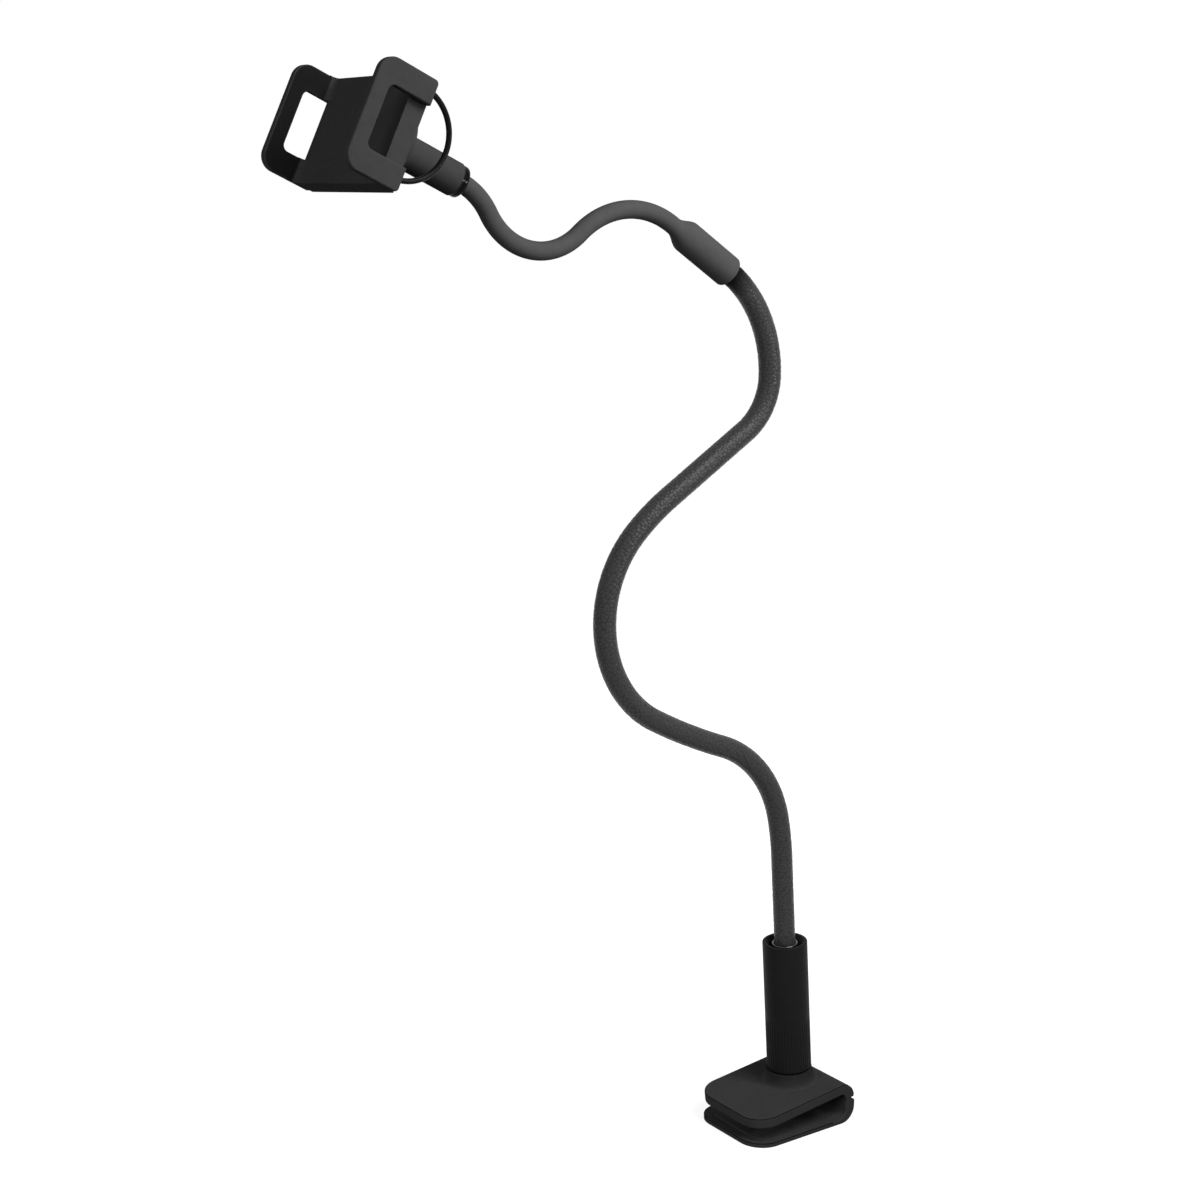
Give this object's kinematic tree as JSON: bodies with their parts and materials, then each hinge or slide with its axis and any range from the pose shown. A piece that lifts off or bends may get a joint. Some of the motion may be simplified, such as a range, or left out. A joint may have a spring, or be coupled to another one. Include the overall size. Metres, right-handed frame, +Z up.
{
  "type": "gooseneck phone holder",
  "caption": "Desk-clamp phone holder with a bendable two-stage arm, a turning grip that tightens the clamp, and a ball-jointed cradle with a sprung side jaw.",
  "frame": {"origin": "on the lower clamp jaw's underside, below the foot of the mast", "axes": "+Z up, +Y across the clamp; the clamp's mouth, the arm and the cradle reach towards -X"},
  "size_m": [0.3114, 0.082, 0.5653],
  "materials": {
    "clamp_plastic": "fine satin moulding",
    "pad_rubber": "matt black rubber",
    "grip_plastic": "satin black with a ribbed foot",
    "plain_steel": "plain turned steel",
    "bright_ring": "polished",
    "nut_brass": "plain turned brass",
    "bearing_plastic": "smooth black nylon",
    "core_metal": "soft bending alloy",
    "grained_sleeve": "leather-grained soft sleeve",
    "smooth_sleeve": "smooth satin soft sleeve",
    "gloss_ring": "polished black",
    "cradle_plastic": "satin moulding",
    "hoop_wire": "glossy black wire"
  },
  "bodies": {
    "lower_clamp": {"lower_jaw": "clamp_plastic", "lower_jaw_pad": "pad_rubber"},
    "upper_clamp": {"upper_jaw": "clamp_plastic", "upper_jaw_pad": "pad_rubber", "thrust_washer": "bearing_plastic"},
    "stud": {"draw_stud": "plain_steel"},
    "grip": {"turning_grip": "grip_plastic", "grip_nut": "nut_brass", "foot_bushing": "bearing_plastic"},
    "arm": {"foot_ring": "bright_ring", "foot_ferrule": "plain_steel", "lower_arm_core": "core_metal", "lower_arm_sleeve": "grained_sleeve", "coupling_connector": "plain_steel", "upper_arm_core": "core_metal", "upper_arm_sleeve": "smooth_sleeve", "ball_stud": "plain_steel"},
    "seat": {"ball_seat": "bearing_plastic"},
    "cradle": {"cradle_body": "cradle_plastic", "rear_cover": "cradle_plastic", "cover_screws": "plain_steel", "lock_ring": "gloss_ring", "upper_return_spring": "plain_steel", "lower_return_spring": "plain_steel"},
    "jaw": {"sliding_jaw": "cradle_plastic", "upper_guide_rod": "plain_steel", "lower_guide_rod": "plain_steel", "hoop": "hoop_wire"}
  },
  "joints": [
    {"name": "jaw_open", "type": "hinge", "parent": "lower_clamp", "child": "upper_clamp", "pos_m": [0.02062, 0, 0.01405], "axis": [0, 1, 0], "range_deg": [0, 20]},
    {"name": "stud_slide", "type": "slide", "parent": "upper_clamp", "child": "stud", "axis": [-0.0663, 0, 0.9978], "range_m": [-0.008, 0]},
    {"name": "grip_turn", "type": "hinge", "parent": "upper_clamp", "child": "grip", "pos_m": [0, 0, 0.021], "axis": [-0.0663, 0, 0.9978], "range_deg": [0, 2800]},
    {"name": "arm_swivel", "type": "hinge", "parent": "upper_clamp", "child": "arm", "pos_m": [0, 0, 0.021], "axis": [-0.0663, 0, 0.9978], "continuous": true},
    {"name": "head_tilt", "type": "hinge", "parent": "arm", "child": "seat", "pos_m": [-0.21559, 0, 0.51675], "axis": [0, 1, 0], "range_deg": [-12, 12]},
    {"name": "head_spin", "type": "hinge", "parent": "seat", "child": "cradle", "pos_m": [-0.21559, 0, 0.51675], "axis": [-0.9048, 0, 0.4258], "continuous": true},
    {"name": "jaw_slide", "type": "slide", "parent": "cradle", "child": "jaw", "axis": [0, -1, 0], "range_m": [0, 0.026], "stiffness_N_per_m": 150, "springref_m": -0.015, "deforming": ["upper_return_spring", "lower_return_spring"]}
  ],
  "couplings": [
    {"joint": "stud_slide", "follows": "jaw_open", "m_per_rad": -0.021762},
    {"joint": "grip_turn", "follows": "jaw_open", "ratio": 136.74}
  ]
}
